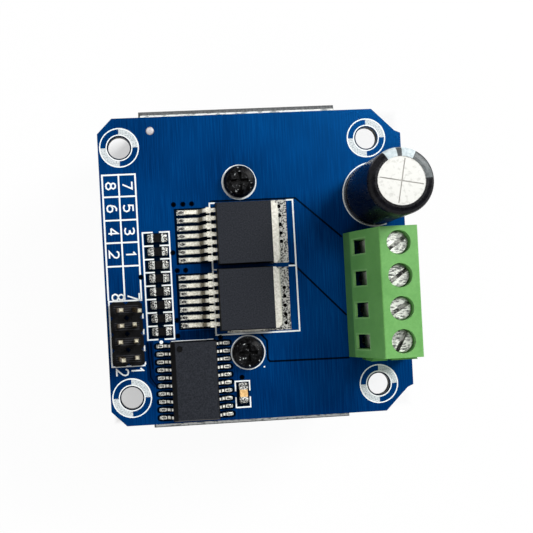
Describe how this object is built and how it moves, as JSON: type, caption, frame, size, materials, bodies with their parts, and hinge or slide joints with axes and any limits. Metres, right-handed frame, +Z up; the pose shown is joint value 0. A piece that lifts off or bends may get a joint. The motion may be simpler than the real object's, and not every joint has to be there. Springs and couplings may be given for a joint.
{
  "type": "dc motor driver module",
  "caption": "Square circuit board with two power chips, a row of screw terminals, an upright can capacitor, a pin header and a finned heatsink under the board.",
  "frame": {"origin": "centre of the four mounting holes, on the underside of the board", "axes": "+Z up, away from the heatsink and along the mounting holes; +X from the pin header towards the screw terminals; +Y towards the capacitor's end of the board"},
  "size_m": [0.0492, 0.0512, 0.043],
  "materials": {
    "board_laminate": "satin blue solder mask",
    "silkscreen": "printed white",
    "copper_pads": "tinned copper",
    "pad_silicone": "matte pale grey",
    "heatsink_metal": "sawn and anodised",
    "black_steel": "black oxide",
    "chip_plastic": "moulded matte black",
    "tinned_metal": "tin plated",
    "resistor_ceramic": "black glaze",
    "chip_ends": "tinned",
    "filter_ceramic": "tan ceramic",
    "header_plastic": "moulded black",
    "pin_gold": "pale gold plate",
    "can_aluminium": "bright",
    "sleeve_plastic": "shrunk black film",
    "seal_rubber": "matte black",
    "terminal_green": "moulded green",
    "clamp_screw_metal": "zinc plated",
    "cage_metal": "nickel plated",
    "contact_metal": "tin plated",
    "solder": "bright"
  },
  "bodies": {
    "module": {"circuit_board": "board_laminate", "thermal_pad": "pad_silicone", "heatsink": "heatsink_metal", "heatsink_screws": "black_steel", "buffer_leads": "tinned_metal", "buffer_body": "chip_plastic", "filter_capacitor": "filter_ceramic", "filter_capacitor_ends": "chip_ends", "header_base": "header_plastic", "capacitor_can": "can_aluminium", "capacitor_sleeve": "sleeve_plastic", "capacitor_leads": "tinned_metal", "capacitor_seal": "seal_rubber", "terminal_housing": "terminal_green", "terminal_contacts": "contact_metal", "solder_joints": "solder", "driver_tab_upper": "tinned_metal", "driver_leads_upper": "tinned_metal", "driver_body_upper": "chip_plastic", "driver_tab_lower": "tinned_metal", "driver_leads_lower": "tinned_metal", "driver_body_lower": "chip_plastic", "resistor_1": "resistor_ceramic", "resistor_ends_1": "chip_ends", "header_pin_1": "pin_gold", "resistor_2": "resistor_ceramic", "resistor_ends_2": "chip_ends", "header_pin_2": "pin_gold", "resistor_3": "resistor_ceramic", "resistor_ends_3": "chip_ends", "header_pin_3": "pin_gold", "resistor_4": "resistor_ceramic", "resistor_ends_4": "chip_ends", "header_pin_4": "pin_gold", "resistor_5": "resistor_ceramic", "resistor_ends_5": "chip_ends", "header_pin_5": "pin_gold", "resistor_6": "resistor_ceramic", "resistor_ends_6": "chip_ends", "header_pin_6": "pin_gold", "resistor_7": "resistor_ceramic", "resistor_ends_7": "chip_ends", "header_pin_7": "pin_gold", "resistor_8": "resistor_ceramic", "resistor_ends_8": "chip_ends", "header_pin_8": "pin_gold"},
    "clamp_screw_1": {"terminal_screw_1": "clamp_screw_metal"},
    "clamp_cage_1": {"terminal_cage_1": "cage_metal"},
    "clamp_screw_2": {"terminal_screw_2": "clamp_screw_metal"},
    "clamp_cage_2": {"terminal_cage_2": "cage_metal"},
    "clamp_screw_3": {"terminal_screw_3": "clamp_screw_metal"},
    "clamp_cage_3": {"terminal_cage_3": "cage_metal"},
    "clamp_screw_4": {"terminal_screw_4": "clamp_screw_metal"},
    "clamp_cage_4": {"terminal_cage_4": "cage_metal"}
  },
  "joints": [
    {"name": "terminal_screw_1_turn", "type": "hinge", "parent": "module", "child": "clamp_screw_1", "pos_m": [0.02136, 0.00213, 0.0137], "axis": [0, 0, -1], "range_deg": [0, 1620]},
    {"name": "terminal_cage_1_lift", "type": "slide", "parent": "module", "child": "clamp_cage_1", "axis": [0, 0, 1], "range_m": [0, 0.00202]},
    {"name": "terminal_screw_2_turn", "type": "hinge", "parent": "module", "child": "clamp_screw_2", "pos_m": [0.02136, -0.00287, 0.0137], "axis": [0, 0, -1], "range_deg": [0, 1620]},
    {"name": "terminal_cage_2_lift", "type": "slide", "parent": "module", "child": "clamp_cage_2", "axis": [0, 0, 1], "range_m": [0, 0.00202]},
    {"name": "terminal_screw_3_turn", "type": "hinge", "parent": "module", "child": "clamp_screw_3", "pos_m": [0.02136, -0.00787, 0.0137], "axis": [0, 0, -1], "range_deg": [0, 1620]},
    {"name": "terminal_cage_3_lift", "type": "slide", "parent": "module", "child": "clamp_cage_3", "axis": [0, 0, 1], "range_m": [0, 0.00202]},
    {"name": "terminal_screw_4_turn", "type": "hinge", "parent": "module", "child": "clamp_screw_4", "pos_m": [0.02136, -0.01287, 0.0137], "axis": [0, 0, -1], "range_deg": [0, 1620]},
    {"name": "terminal_cage_4_lift", "type": "slide", "parent": "module", "child": "clamp_cage_4", "axis": [0, 0, 1], "range_m": [0, 0.00202]}
  ],
  "couplings": [
    {"joint": "terminal_screw_1_turn", "follows": "terminal_cage_1_lift", "rad_per_m": 13963},
    {"joint": "terminal_screw_2_turn", "follows": "terminal_cage_2_lift", "rad_per_m": 13963},
    {"joint": "terminal_screw_3_turn", "follows": "terminal_cage_3_lift", "rad_per_m": 13963},
    {"joint": "terminal_screw_4_turn", "follows": "terminal_cage_4_lift", "rad_per_m": 13963}
  ]
}
